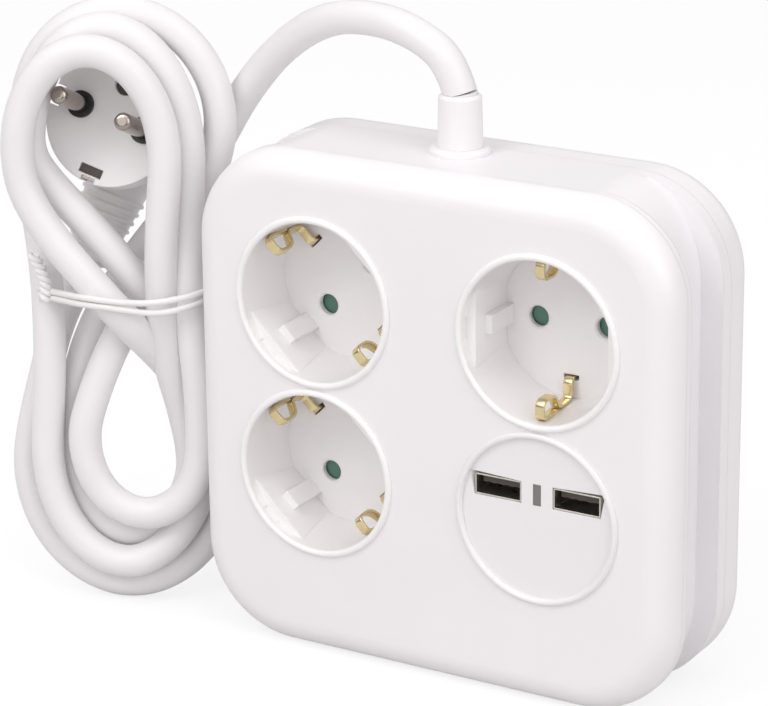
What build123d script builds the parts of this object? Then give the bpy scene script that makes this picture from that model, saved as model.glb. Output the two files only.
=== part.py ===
from build123d import *
from math import cos, degrees, pi, radians, sin, tan
import os

# A flat, nearly square socket block that stands on its lower edge, with its cord
# tied up in a hank beside it. X runs along the front face, Y from front to back
# and Z is up. The origin is the middle of the footprint, on the floor. Depths are
# measured behind the flat front face.

# Block
block_width = 138.0
block_height = 134.4
block_depth = 44.8
corner_radius = 26.0
front_edge_radius = 7.5
rear_edge_radius = 7.0
wall = 2.2
groove_start = 10.0
groove_end = 27.5
groove_sink = 6.0
front_flange = 2.0
rear_flange = 4.5

# Round inserts, two across and two up
pitch_x = 64.5
pitch_z = 46.0
inserts_height = 73.6
rim_radius = 22.75
rim_crest_radius = 21.3
rim_height = 1.8
rim_lip = 0.6
recess_radius = 19.8
recess_depth = 18.2
cup_wall = 1.5
floor_thickness = 2.0
fit = 0.15

# Earthed socket
pin_pitch = 19.0
pin_diameter = 4.8
pin_length = 19.0
pin_hole_diameter = 5.5
pin_hole_chamfer = 0.5
flat_distance = 18.3
flat_start = 2.2
rib_width = 5.0
rib_height = 2.0
rib_start = 1.4
boss_angle = 45.0
boss_distance = 17.7
boss_radius = 2.6
running_gap = 0.3
shutter_thickness = 1.6
shutter_lobe = 3.1
shutter_hub = 4.2
post_radius = 1.8
post_gap = 0.08
base_radius = 20.3
base_thickness = 12.4
base_screw_radius = 1.1
base_screw_head = 2.1
base_screw_head_height = 1.4
sleeve_wall = 0.85
sleeve_play = 0.05
sleeve_start = 24.0
sleeve_slit = 0.8

# Earth stirrup
clip_width = 3.6
clip_thickness = 0.8
clip_slot_gap = 0.3
clip_leg = 14.3
clip_outer = 19.1
clip_crest = 13.9

# Rails behind the socket bases
rail_thickness = 0.8
rail_width = 6.0
earth_rail_width = 5.4
earth_rail_height = 85.0
live_rail_depth = 37.4
neutral_rail_depth = 39.4
neutral_rail_height = 65.0

# Charging insert
plate_thickness = 2.0
plate_sink = 0.3
plate_skirt = 12.0
port_spacing = 22.1
port_rise = 6.2
port_width = 13.1
port_height = 5.5
port_sink = 0.5
port_sheet = 0.35
port_gap = 0.12
tongue_width = 11.1
tongue_thickness = 1.9
tongue_sink = 2.4
light_width = 2.0
light_height = 5.4
light_gap = 0.1
led_height = 1.6
board_depth = 14.2
board_thickness = 1.6
board_width = 36.0
board_height = 31.0
standoff_radius = 2.4
standoff_x = 14.0
standoff_z = -9.0
board_screw_radius = 0.9

# Housing screws
post_outer = 3.6
rear_post_outer = 4.4
screw_radius = 1.45
screw_length = 27.0
screw_head_radius = 2.9
screw_head_height = 2.2
screw_head_play = 0.2
screw_recess = 5.5
corner_post_x = 54.0
corner_post_inset = 17.4
post_meeting_depth = 33.0

# Mains cord where it enters the block
cord_diameter = 8.8
cord_x = -2.7
cord_depth = 24.0
collar_outer_radius = 7.9
collar_height = 1.6
collar_neck_radius = 6.0
collar_neck_length = 8.0
collar_barb = 0.9
sleeve_radius = 5.8
sleeve_top_radius = 5.5
sleeve_height = 13.5
cord_play = 0.05
jacket_drop = 22.4
wire_diameter = 2.6
clamp_drop = 16.4
clamp_width = 25.0
clamp_band = 7.0
clamp_split = 25.9
clamp_front = 17.5
clamp_screw_reach = 8.8
clamp_screw_radius = 1.2

# Plug on the far end: its face centre, with X from the block's left side, its pin
# direction and its pin row
plug_centre = (-35.0, 16.6, 132.0)
plug_pin_direction = (0.26, -0.89, 0.38)
plug_pin_row = (0.95, 0.15, -0.29)
plug_radius = 18.5
plug_flat_distance = 17.7
plug_rim_depth = 6.0
plug_body_depth = 34.0
plug_body_front = 17.0
plug_body_back = 14.5
plug_back_radius = 5.0
plug_notch_width = 5.6
plug_notch_depth = 2.4
plug_neck_depth = 24.0
plug_neck_start = 11.0
plug_neck_length = 26.5
plug_neck_radius = 9.3
plug_neck_tip = 6.0
plug_earth_hole_radius = 3.1
plug_earth_hole_rise = 9.5
plug_slot_width = 6.6
plug_slot_height = 2.4
plug_slot_distance = 15.2
plug_strip_width = 4.0
plug_strip_thickness = 0.8
plug_strip_length = 13.0
plug_pin_root = 9.0
plug_pin_tip = 1.3
plug_collar_radius = 3.6
plug_collar_height = 1.2
tail_length = 4.0

# Tied hank, which stands beside the block, turned a little to the left. The foot's X
# is from the block's left side
hank_foot = (-24.0, 8.0)
hank_turn = 24.0
hank_front = 9.4
hank_middle = -4.6
hank_back = -21.5
waist_left = -24.0
waist_right = 20.0
waist_low = 78.0
waist_high = 99.0
hank_neck_gap = 0.5
tie_height = 88.0
tie_back = -29.5
tie_width = 4.6
tie_thickness = 1.2
tie_end_radius = 1.1
tie_end_height = 13.0

face_y = -(block_depth - rim_height) / 2
cover_depth = groove_start - front_flange
band_end = groove_end + rear_flange
cup_radius = recess_radius + cup_wall
cup_back = recess_depth + floor_thickness
shutter_front = cup_back + running_gap
base_front = shutter_front + shutter_thickness + running_gap + 0.2
base_back = base_front + base_thickness
pin_half = pin_pitch / 2
sleeve_bore = pin_diameter / 2 + sleeve_play
sleeve_outer = sleeve_bore + sleeve_wall
back_inside = block_depth - wall
cord_radius = cord_diameter / 2
screw_seat = block_depth - screw_recess
left_x = -pitch_x / 2
right_x = pitch_x / 2
upper_z = inserts_height + pitch_z / 2
lower_z = inserts_height - pitch_z / 2
jacket_end = block_height - jacket_drop
clamp_height = block_height - clamp_drop
left_side = -block_width / 2
collar_base = block_height
collar_top = block_height + collar_height
sleeve_top = collar_top + sleeve_height

# Name, centre and angle of the pin row of each earthed socket, and the side of
# its live pin: 1 along the pin row and -1 against it
sockets = [
    ("upper_left", left_x, upper_z, 45.0, 1),
    ("lower_left", left_x, lower_z, 45.0, 1),
    ("upper_right", right_x, upper_z, 0.0, -1),
]
insert_centres = [(x, z) for x in (left_x, right_x) for z in (lower_z, upper_z)]
screw_posts = [
    (-corner_post_x, block_height - corner_post_inset),
    (corner_post_x, block_height - corner_post_inset),
    (-corner_post_x, corner_post_inset),
    (corner_post_x, corner_post_inset),
    (0, inserts_height),
]

os.makedirs("parts", exist_ok=True)


def save(part, name):
    part.label = name
    export_step(part, f"parts/{name}.step")


# A plane at a depth behind the front face that looks at the viewer
def facing(depth, x=0.0, z=0.0, angle=0.0):
    along = (cos(radians(angle)), 0, sin(radians(angle)))
    return Plane(origin=(x, face_y + depth, z), x_dir=along, z_dir=(0, -1, 0))


# A plane through an insert's axis, with the radius across and the depth up
def section(x, z, angle=0.0):
    front = facing(0, x, z, angle)
    return Plane(origin=front.origin, x_dir=front.x_dir, z_dir=front.y_dir)


# The same, turned so that the radius runs along the earth contacts
def cross_section(x, z, angle):
    return section(x, z, angle + 90)


def insert_axis(x, z):
    return Axis((x, face_y, z), (0, -1, 0))


def block_outline(inset=0.0):
    with Locations((0, block_height / 2)):
        RectangleRounded(
            block_width - 2 * inset, block_height - 2 * inset, corner_radius - inset
        )


# Groove floor: drawn in at the sides, flush with the block at top and bottom
def band_outline(inset=0.0):
    half_width = block_width / 2 - groove_sink - inset
    flat_half = block_width / 2 - corner_radius
    arc_x = half_width - flat_half
    arc_z = corner_radius - inset
    top_centre = block_height - corner_radius
    bottom_centre = corner_radius
    with BuildLine() as outline:
        EllipticalCenterArc((flat_half, top_centre), arc_x, arc_z)
        Line((flat_half, block_height - inset), (-flat_half, block_height - inset))
        EllipticalCenterArc((-flat_half, top_centre), arc_x, arc_z, 90)
        Line((-half_width, top_centre), (-half_width, bottom_centre))
        EllipticalCenterArc((-flat_half, bottom_centre), arc_x, arc_z, 180)
        Line((-flat_half, inset), (flat_half, inset))
        EllipticalCenterArc((flat_half, bottom_centre), arc_x, arc_z, 270)
        Line((half_width, bottom_centre), (half_width, top_centre))
    make_face(outline.edges())


# A straight bar between two points of a sketch, with square ends
def bar(start, end, width):
    low_x, high_x = sorted((start[0], end[0]))
    low_z, high_z = sorted((start[1], end[1]))
    with Locations(((low_x + high_x) / 2, (low_z + high_z) / 2)):
        Rectangle(high_x - low_x + width, high_z - low_z + width)


# Place of one pin of a socket, on the given side of its centre
def pin_place(x, z, angle, side):
    reach = side * pin_half
    return x + reach * cos(radians(angle)), z + reach * sin(radians(angle))


# Radii that make each arc of a route as large as its runs allow
def route_radii(points):
    corners = [Vector(*point) for point in points]
    runs = [b - a for a, b in zip(corners, corners[1:])]
    radii = []
    for before, after in zip(runs, runs[1:]):
        turn = radians(before.get_angle(after))
        shorter = min(before.length, after.length)
        radii.append(0.45 * shorter / tan(turn / 2))
    return radii


# A round tube along a route of straight runs and tangent arcs
def cord_tube(points, radius):
    with BuildPart() as tube:
        with BuildLine() as route:
            FilletPolyline(*points, radius=route_radii(points))
        with BuildSketch(Plane(origin=points[0], z_dir=route.wire() % 0)):
            Circle(radius)
        sweep()
    return tube.part, route.wire().length


# Front cover: a shallow tray with four round holes and five screw posts
with BuildPart() as front_cover:
    with BuildSketch(facing(0)):
        block_outline()
    extrude(amount=-cover_depth)
    fillet(front_cover.faces().sort_by(Axis.Y)[0].edges(), front_edge_radius)
    offset(amount=-wall, openings=front_cover.faces().sort_by(Axis.Y)[-1])
    with BuildSketch(facing(0)):
        with Locations(*insert_centres):
            Circle(cup_radius + fit)
    extrude(amount=-cover_depth, mode=Mode.SUBTRACT)
    with BuildSketch(facing(wall / 2)):
        with Locations(*screw_posts):
            Circle(post_outer)
    extrude(amount=-(post_meeting_depth - wall / 2))
    with BuildSketch(facing(post_meeting_depth)):
        with Locations(*screw_posts):
            Circle(screw_radius)
    extrude(amount=screw_length - (screw_seat - post_meeting_depth) + 1, mode=Mode.SUBTRACT)
save(front_cover.part, "front_cover")

# Middle band: the floor of the cord groove between its two side walls
with BuildPart() as groove_band:
    with BuildSketch(facing(cover_depth)):
        band_outline()
    extrude(amount=-(band_end - cover_depth))
    with BuildSketch(facing(cover_depth)):
        block_outline()
    extrude(amount=-front_flange)
    with BuildSketch(facing(groove_end)):
        block_outline()
    extrude(amount=-rear_flange)
    with BuildSketch(facing(cover_depth)):
        band_outline(wall)
    extrude(amount=-(band_end - cover_depth), mode=Mode.SUBTRACT)
    with BuildSketch(Plane.XY.offset(block_height)):
        with Locations((cord_x, face_y + cord_depth)):
            Circle(collar_neck_radius)
    extrude(amount=-2 * wall, mode=Mode.SUBTRACT)
save(groove_band.part, "groove_band")

# Rear cover: a tray with screw posts, head recesses and the lower cord saddle
with BuildPart() as rear_cover:
    with BuildSketch(facing(band_end)):
        block_outline()
    extrude(amount=-(block_depth - band_end))
    fillet(rear_cover.faces().sort_by(Axis.Y)[-1].edges(), rear_edge_radius)
    offset(amount=-wall, openings=rear_cover.faces().sort_by(Axis.Y)[0])
    with BuildSketch(facing(post_meeting_depth)):
        with Locations(*screw_posts):
            Circle(rear_post_outer)
    extrude(amount=-(block_depth - post_meeting_depth - wall / 2))
    with BuildSketch(facing(clamp_split)):
        with Locations((cord_x, clamp_height)):
            Rectangle(clamp_width, clamp_band)
    extrude(amount=-(back_inside - clamp_split + wall / 2))
    with BuildSketch(facing(post_meeting_depth)):
        with Locations(*screw_posts):
            Circle(screw_radius + fit)
    extrude(amount=-(block_depth - post_meeting_depth), mode=Mode.SUBTRACT)
    with BuildSketch(facing(screw_seat)):
        with Locations(*screw_posts):
            Circle(screw_head_radius + screw_head_play)
    extrude(amount=-screw_recess, mode=Mode.SUBTRACT)
    with BuildSketch(Plane.XY.offset(clamp_height)):
        with Locations((cord_x, face_y + cord_depth)):
            Circle(cord_radius)
    extrude(amount=clamp_band, both=True, mode=Mode.SUBTRACT)
    with BuildSketch(facing(clamp_split)):
        with Locations((cord_x, clamp_height)):
            with GridLocations(2 * clamp_screw_reach, 1, 2, 1):
                Circle(clamp_screw_radius)
    extrude(amount=-12, mode=Mode.SUBTRACT)
save(rear_cover.part, "rear_cover")


# Recess of one earthed socket, with its rim, guide ribs and screw bosses
def socket_cup(x, z, angle):
    with BuildPart() as cup:
        with BuildSketch(section(x, z, angle)):
            with BuildLine():
                Polyline((0, recess_depth), (recess_radius, recess_depth), (recess_radius, rim_lip))
                ThreePointArc(
                    (recess_radius, rim_lip), (rim_crest_radius, -rim_height), (rim_radius, 0)
                )
                Polyline((rim_radius, 0), (cup_radius, 0), (cup_radius, cup_back), (0, cup_back))
                Line((0, cup_back), (0, recess_depth))
            make_face()
        revolve(axis=insert_axis(x, z))
        with BuildSketch(facing(flat_start, x, z, angle)):
            Circle(recess_radius + cup_wall / 2)
            Rectangle(2 * flat_distance, 4 * recess_radius, mode=Mode.SUBTRACT)
        extrude(amount=-(recess_depth - flat_start))
        with BuildSketch(facing(rib_start, x, z, angle)):
            with GridLocations(2 * flat_distance, 1, 2, 1):
                Rectangle(2 * rib_height, rib_width)
        extrude(amount=-(recess_depth - rib_start))
        with BuildSketch(facing(recess_depth, x, z, angle)):
            with GridLocations(pin_pitch, 1, 2, 1):
                Circle(pin_hole_diameter / 2)
            with GridLocations(1, 2 * clip_leg, 1, 2):
                Rectangle(clip_width + 2 * clip_slot_gap, clip_thickness + 2 * clip_slot_gap)
        extrude(amount=-floor_thickness, mode=Mode.SUBTRACT)
        pin_edges = cup.edges().filter_by(GeomType.CIRCLE).filter_by(
            lambda edge: abs(edge.radius - pin_hole_diameter / 2) < 0.01
        )
        chamfer(pin_edges.group_by(Axis.Y)[0], pin_hole_chamfer)
        with BuildSketch(facing(cup_back, x, z, angle)):
            with PolarLocations(boss_distance, 2, start_angle=boss_angle):
                Circle(boss_radius)
                Circle(base_screw_radius, mode=Mode.SUBTRACT)
        extrude(amount=-(base_front - cup_back))
    return cup.part


# Block behind the recess: two bores for the contact sleeves and a pivot post
def socket_base(x, z, angle):
    with BuildPart() as base:
        with BuildSketch(facing(base_front, x, z, angle)):
            Circle(base_radius)
        extrude(amount=-base_thickness)
        chamfer(base.edges(), 0.8)
        with BuildSketch(facing(base_front, x, z, angle)):
            with GridLocations(pin_pitch, 1, 2, 1):
                Circle(sleeve_outer + post_gap)
            with GridLocations(1, 2 * clip_leg, 1, 2):
                Rectangle(clip_width + 2 * clip_slot_gap, clip_thickness + 2 * clip_slot_gap)
            with PolarLocations(boss_distance, 2, start_angle=boss_angle):
                Circle(base_screw_radius + fit)
        extrude(amount=-base_thickness, mode=Mode.SUBTRACT)
        with BuildSketch(facing(base_back, x, z, angle)):
            with PolarLocations(boss_distance, 2, start_angle=boss_angle):
                Circle(base_screw_head + fit)
        extrude(amount=base_screw_head_height, mode=Mode.SUBTRACT)
        with BuildSketch(facing(base_front, x, z, angle)):
            Circle(post_radius)
        extrude(amount=base_front - cup_back)
    return base.part


# Child shutter: a bar on the pivot post that covers both pin holes
def socket_shutter(x, z, angle):
    with BuildPart() as plate:
        with BuildSketch(facing(shutter_front, x, z, angle)):
            SlotCenterToCenter(pin_pitch, 2 * shutter_lobe)
            Circle(shutter_hub)
            Circle(post_radius + post_gap, mode=Mode.SUBTRACT)
        extrude(amount=-shutter_thickness)
        rims = plate.faces().sort_by(Axis.Y)[0].outer_wire().edges()
        chamfer(rims, 0.4)
    return plate.part


# Earth stirrup: one bent strip with an arched contact at each end
def earth_stirrup(x, z, angle):
    back = base_back + clip_thickness / 2
    half = [
        (clip_outer, 1.2),
        (clip_crest, 2.8),
        (clip_crest, 8.2),
        (clip_outer, 11.0),
        (clip_outer, 16.4),
        (clip_leg, 16.4),
        (clip_leg, back),
    ]
    mirrored = [(-radius, depth) for radius, depth in reversed(half)]
    bends = [1.6, 1.6, 0.7, 0.7, 0.7, 0.7]
    with BuildPart() as strip:
        with BuildSketch(cross_section(x, z, angle)):
            with BuildLine():
                FilletPolyline(*half, *mirrored, radius=bends + bends[::-1])
            trace(line_width=clip_thickness)
        extrude(amount=clip_width / 2, both=True)
    return strip.part


# Screws that hold a base to its cup, all of one size
def base_screws(x, z, angle):
    with BuildPart() as screws:
        with BuildSketch(facing(base_back - base_screw_head_height, x, z, angle)):
            with PolarLocations(boss_distance, 2, start_angle=boss_angle):
                Circle(base_screw_head)
        extrude(amount=-base_screw_head_height)
        with BuildSketch(facing(base_back - base_screw_head_height, x, z, angle)):
            with PolarLocations(boss_distance, 2, start_angle=boss_angle):
                Circle(base_screw_radius)
        extrude(amount=base_thickness - base_screw_head_height + base_front - cup_back)
    return screws.part


all_base_screws = []
for name, x, z, angle, _ in sockets:
    save(socket_cup(x, z, angle), f"{name}_cup")
    save(socket_base(x, z, angle), f"{name}_base")
    save(socket_shutter(x, z, angle), f"{name}_shutter")
    save(earth_stirrup(x, z, angle), f"{name}_earth_stirrup")
    all_base_screws += base_screws(x, z, angle).solids()
save(Compound(children=all_base_screws), "base_screws")


# Rail with a slit sleeve for one pin of each socket; pole is 1 for live, -1 for neutral
def contact_rail(depth, pole, bars):
    places = [(pin_place(x, z, angle, pole * side), angle) for _, x, z, angle, side in sockets]
    with BuildPart() as rail:
        with BuildSketch(facing(depth)):
            for start, end in bars:
                bar(start, end, rail_width)
        extrude(amount=-rail_thickness)
        for centre, angle in places:
            with BuildSketch(facing(sleeve_start, *centre, angle)):
                Circle(sleeve_outer)
            extrude(amount=-(depth - sleeve_start + rail_thickness))
        for centre, angle in places:
            with BuildSketch(facing(sleeve_start, *centre, angle)):
                Circle(sleeve_bore)
            extrude(amount=-(depth - sleeve_start + rail_thickness), mode=Mode.SUBTRACT)
            with BuildSketch(facing(sleeve_start, *centre, angle)):
                with Locations((0, sleeve_outer)):
                    Rectangle(sleeve_slit, 2 * sleeve_outer)
            extrude(amount=-(base_back - sleeve_start - 1), mode=Mode.SUBTRACT)
    return rail.part


upper_live, lower_live, right_live = [
    pin_place(x, z, angle, side) for _, x, z, angle, side in sockets
]
upper_neutral, lower_neutral, right_neutral = [
    pin_place(x, z, angle, -side) for _, x, z, angle, side in sockets
]
live_corner = (right_live[0], upper_live[1])
live_bars = [(lower_live, upper_live), (upper_live, live_corner), (right_live, live_corner)]
save(contact_rail(live_rail_depth, 1, live_bars), "live_rail")

neutral_left = (upper_neutral[0], neutral_rail_height)
neutral_right = (right_neutral[0], neutral_rail_height)
neutral_bars = [
    (lower_neutral, upper_neutral),
    (neutral_left, neutral_right),
    (neutral_right, right_neutral),
]
save(contact_rail(neutral_rail_depth, -1, neutral_bars), "neutral_rail")

earth_front = base_back + clip_thickness
with BuildPart() as earth_link:
    with BuildSketch(facing(earth_front)):
        bar((left_x, lower_z), (left_x, upper_z), earth_rail_width)
        bar((left_x, earth_rail_height), (right_x, earth_rail_height), earth_rail_width)
    extrude(amount=-rail_thickness)
save(earth_link.part, "earth_link")

# Charging insert: a round plate with the same rim, two port windows and a light slot
port_places = [(side * port_spacing / 2, port_rise) for side in (-1, 1)]
with BuildPart() as usb_faceplate:
    with BuildSketch(section(right_x, lower_z)):
        with BuildLine():
            Line((0, plate_sink), (recess_radius, plate_sink))
            ThreePointArc(
                (recess_radius, plate_sink), (rim_crest_radius, -rim_height), (rim_radius, 0)
            )
            Polyline(
                (rim_radius, 0),
                (cup_radius, 0),
                (cup_radius, plate_skirt),
                (recess_radius, plate_skirt),
                (recess_radius, plate_sink + plate_thickness),
                (0, plate_sink + plate_thickness),
                (0, plate_sink),
            )
        make_face()
    revolve(axis=insert_axis(right_x, lower_z))
    with BuildSketch(facing(plate_sink, right_x, lower_z)):
        with Locations(*port_places):
            Rectangle(port_width + 2 * port_gap, port_height + 2 * port_gap)
        with Locations((0, port_rise)):
            Rectangle(light_width + 2 * light_gap, light_height + 2 * light_gap)
    extrude(amount=-plate_thickness, mode=Mode.SUBTRACT)
    with BuildSketch(facing(plate_sink + plate_thickness / 2, right_x, lower_z)):
        with Locations((-standoff_x, standoff_z), (standoff_x, standoff_z)):
            Circle(standoff_radius)
    extrude(amount=-(board_depth - plate_sink - plate_thickness / 2))
    with BuildSketch(facing(board_depth, right_x, lower_z)):
        with Locations((-standoff_x, standoff_z), (standoff_x, standoff_z)):
            Circle(board_screw_radius)
    extrude(amount=7, mode=Mode.SUBTRACT)
save(usb_faceplate.part, "usb_faceplate")

for side, (port_x, port_z) in zip(("left", "right"), port_places):
    front = facing(port_sink, right_x + port_x, lower_z + port_z)
    with BuildPart() as port_shell:
        with BuildSketch(front):
            RectangleRounded(port_width, port_height, 0.5)
        extrude(amount=-(board_depth - port_sink))
        offset(amount=-port_sheet, openings=port_shell.faces().sort_by(Axis.Y)[0])
    save(port_shell.part, f"usb_shell_{side}")
    with BuildPart() as port_tongue:
        rise = port_height / 2 - port_sheet - tongue_thickness / 2 - 0.7
        with BuildSketch(front.offset(-tongue_sink)):
            with Locations((0, rise)):
                Rectangle(tongue_width, tongue_thickness)
        extrude(amount=-(board_depth - port_sink - tongue_sink - port_sheet))
        with BuildSketch(front.offset(-tongue_sink)):
            with Locations((0, rise - tongue_thickness / 2)):
                with GridLocations(2.5, 1, 4, 1):
                    Rectangle(1.2, 0.3)
        extrude(amount=-6, mode=Mode.SUBTRACT)
    save(port_tongue.part, f"usb_tongue_{side}")

with BuildPart() as light_guide:
    with BuildSketch(facing(plate_sink, right_x, lower_z)):
        with Locations((0, port_rise)):
            Rectangle(light_width, light_height)
    extrude(amount=-(board_depth - led_height - plate_sink))
save(light_guide.part, "light_guide")

with BuildPart() as status_led:
    with BuildSketch(facing(board_depth, right_x, lower_z)):
        with Locations((0, port_rise)):
            Rectangle(light_width, light_height * 0.6)
    extrude(amount=led_height)
    chamfer(status_led.faces().sort_by(Axis.Y)[0].edges(), 0.3)
save(status_led.part, "status_led")

board_back = board_depth + board_thickness
with BuildPart() as usb_circuit_board:
    with BuildSketch(facing(board_depth, right_x, lower_z)):
        RectangleRounded(board_width, board_height, 2)
        with Locations((-standoff_x, standoff_z), (standoff_x, standoff_z)):
            Circle(board_screw_radius + fit, mode=Mode.SUBTRACT)
    extrude(amount=-board_thickness)
save(usb_circuit_board.part, "usb_circuit_board")

with BuildPart() as board_screws:
    with BuildSketch(facing(board_back, right_x, lower_z)):
        with Locations((-standoff_x, standoff_z), (standoff_x, standoff_z)):
            Circle(2 * board_screw_radius)
    extrude(amount=-1.2)
    with BuildSketch(facing(board_back, right_x, lower_z)):
        with Locations((-standoff_x, standoff_z), (standoff_x, standoff_z)):
            Circle(board_screw_radius)
    extrude(amount=board_thickness + 6)
save(board_screws.part, "board_screws")

# Transformer: a wound bobbin inside a closed core, on the back of the board
with BuildPart() as transformer:
    core_x, core_z, core_y = 16.0, 13.0, 12.0
    with BuildSketch(facing(board_back, right_x - 4, lower_z + 5)):
        Rectangle(core_x, core_z)
        with GridLocations(core_x * 0.62, 1, 2, 1):
            Rectangle(core_x * 0.14, core_z * 0.7, mode=Mode.SUBTRACT)
    extrude(amount=-core_y)
    with BuildSketch(facing(board_back + 1, right_x - 4, lower_z + 5)):
        RectangleRounded(core_x * 0.72, core_z + 4, 2)
    extrude(amount=-(core_y - 2))
save(transformer.part, "transformer")

with BuildPart() as capacitor:
    with BuildSketch(facing(board_back, right_x + 11, lower_z + 6)):
        Circle(4)
    extrude(amount=-12)
    fillet(capacitor.edges().filter_by(GeomType.CIRCLE), 0.5)
save(capacitor.part, "capacitor")

# Cross-headed screws that hold the two covers and the band together
with BuildPart() as housing_screws:
    with BuildSketch(facing(screw_seat)):
        with Locations(*screw_posts):
            Circle(screw_head_radius)
    extrude(amount=-screw_head_height)
    fillet(housing_screws.faces().sort_by(Axis.Y)[-5:].edges(), 0.7)
    with BuildSketch(facing(screw_seat)):
        with Locations(*screw_posts):
            Circle(screw_radius)
    extrude(amount=screw_length)
    with BuildSketch(facing(screw_seat + screw_head_height)):
        with Locations(*screw_posts):
            Rectangle(0.7, 3.4)
            Rectangle(3.4, 0.7)
    extrude(amount=1.3, mode=Mode.SUBTRACT)
save(Compound(children=housing_screws.part.solids()), "housing_screws")

# Front half of the cord saddle and its two screws
with BuildPart() as cord_clamp:
    with BuildSketch(facing(clamp_split - running_gap)):
        with Locations((cord_x, clamp_height)):
            Rectangle(clamp_width, clamp_band)
    extrude(amount=clamp_split - running_gap - clamp_front)
    fillet(cord_clamp.edges().filter_by(Axis.Z).group_by(Axis.Y)[0], 3)
    with BuildSketch(Plane.XY.offset(clamp_height)):
        with Locations((cord_x, face_y + cord_depth)):
            Circle(cord_radius)
    extrude(amount=clamp_band, both=True, mode=Mode.SUBTRACT)
    with BuildSketch(facing(clamp_front)):
        with Locations((cord_x, clamp_height)):
            with GridLocations(2 * clamp_screw_reach, 1, 2, 1):
                Circle(clamp_screw_radius + fit)
    extrude(amount=-10, mode=Mode.SUBTRACT)
    with BuildSketch(facing(clamp_front)):
        with Locations((cord_x, clamp_height)):
            with GridLocations(2 * clamp_screw_reach, 1, 2, 1):
                Circle(2.4)
    extrude(amount=-2.4, mode=Mode.SUBTRACT)
save(cord_clamp.part, "cord_clamp")

with BuildPart() as clamp_screws:
    with BuildSketch(facing(clamp_front + 2.4)):
        with Locations((cord_x, clamp_height)):
            with GridLocations(2 * clamp_screw_reach, 1, 2, 1):
                Circle(2.2)
    extrude(amount=1.6)
    with BuildSketch(facing(clamp_front + 2.4)):
        with Locations((cord_x, clamp_height)):
            with GridLocations(2 * clamp_screw_reach, 1, 2, 1):
                Circle(clamp_screw_radius)
    extrude(amount=-12)
save(Compound(children=clamp_screws.part.solids()), "clamp_screws")

# Collar fixed in the top wall, and the soft sleeve that guards the cord above it
cord_centre = (cord_x, face_y + cord_depth)
collar_axis = Axis((*cord_centre, 0), (0, 0, 1))
collar_section = Plane(origin=(*cord_centre, 0), x_dir=(1, 0, 0), z_dir=(0, -1, 0))
with BuildPart() as cord_collar:
    with BuildSketch(collar_section):
        bore = cord_radius + cord_play
        neck_end = collar_base - collar_neck_length
        with BuildLine():
            Polyline(
                (bore, collar_top),
                (collar_outer_radius - 0.7, collar_top),
                (collar_outer_radius, collar_top - 0.7),
                (collar_outer_radius, collar_base),
                (collar_neck_radius, collar_base),
                (collar_neck_radius, collar_base - wall),
                (collar_neck_radius + collar_barb, collar_base - wall),
                (collar_neck_radius - 0.4, neck_end),
                (bore, neck_end),
                close=True,
            )
        make_face()
    revolve(axis=collar_axis)
save(cord_collar.part, "cord_collar")

with BuildPart() as cord_sleeve:
    with BuildSketch(collar_section):
        with BuildLine():
            Polyline(
                (bore, collar_top),
                (sleeve_radius, collar_top),
                (sleeve_top_radius, sleeve_top - 0.8),
                (sleeve_top_radius - 0.8, sleeve_top),
                (bore, sleeve_top),
                close=True,
            )
        make_face()
    revolve(axis=collar_axis)
save(cord_sleeve.part, "cord_sleeve")

# Route of the free cord from the sleeve, over to the left and down behind the hank
lead_route = [
    (cord_x, 24.0, sleeve_top),
    (cord_x - 1.5, 24.0, sleeve_top + 8.0),
    (cord_x - 8.8, 24.5, sleeve_top + 13.0),
    (cord_x - 24.3, 26.5, sleeve_top + 15.9),
    (left_side + 25.0, 29.5, sleeve_top + 13.9),
    (left_side + 8.5, 33.5, sleeve_top + 4.1),
    (left_side - 6.0, 36.5, sleeve_top - 11.0),
    (left_side - 14.5, 34.5, sleeve_top - 26.5),
    (left_side - 20.7, 31.5, 106.0),
]
lead_points = [(x, face_y + depth, z) for x, depth, z in lead_route]
lead_start = Plane(
    origin=lead_points[0], z_dir=Vector(*lead_points[1]) - Vector(*lead_points[0])
)

with BuildPart() as cord_entry:
    with BuildSketch(Plane.XY.offset(jacket_end)):
        with Locations(cord_centre):
            Circle(cord_radius)
    extrude(amount=sleeve_top - jacket_end + cord_radius)
    split(bisect_by=lead_start, keep=Keep.BOTTOM)
save(cord_entry.part, "cord_entry")

# The three cores run from the cut jacket to the front of their rails
wire_step = wire_diameter + 0.15
wire_y = face_y + cord_depth
live_wire, _ = cord_tube(
    [
        (cord_x + wire_step, wire_y, jacket_end),
        (cord_x + wire_step, wire_y, 106.0),
        (cord_x + wire_step + 1, face_y + 30, live_corner[1]),
        (cord_x + wire_step + 1, face_y + live_rail_depth, live_corner[1]),
    ],
    wire_diameter / 2,
)
save(live_wire, "live_wire")
earth_wire, _ = cord_tube(
    [
        (cord_x, wire_y, jacket_end),
        (cord_x, wire_y, 98.0),
        (cord_x, face_y + 29, earth_rail_height),
        (cord_x, face_y + earth_front, earth_rail_height),
    ],
    wire_diameter / 2,
)
save(earth_wire, "earth_wire")
neutral_wire, _ = cord_tube(
    [
        (cord_x - wire_step, wire_y, jacket_end),
        (cord_x - wire_step, wire_y, 100.0),
        (-8.4, face_y + 27, 84.0),
        (-8.8, face_y + 32, neutral_rail_height),
        (-8.8, face_y + neutral_rail_depth, neutral_rail_height),
    ],
    wire_diameter / 2,
)
save(neutral_wire, "neutral_wire")

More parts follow.
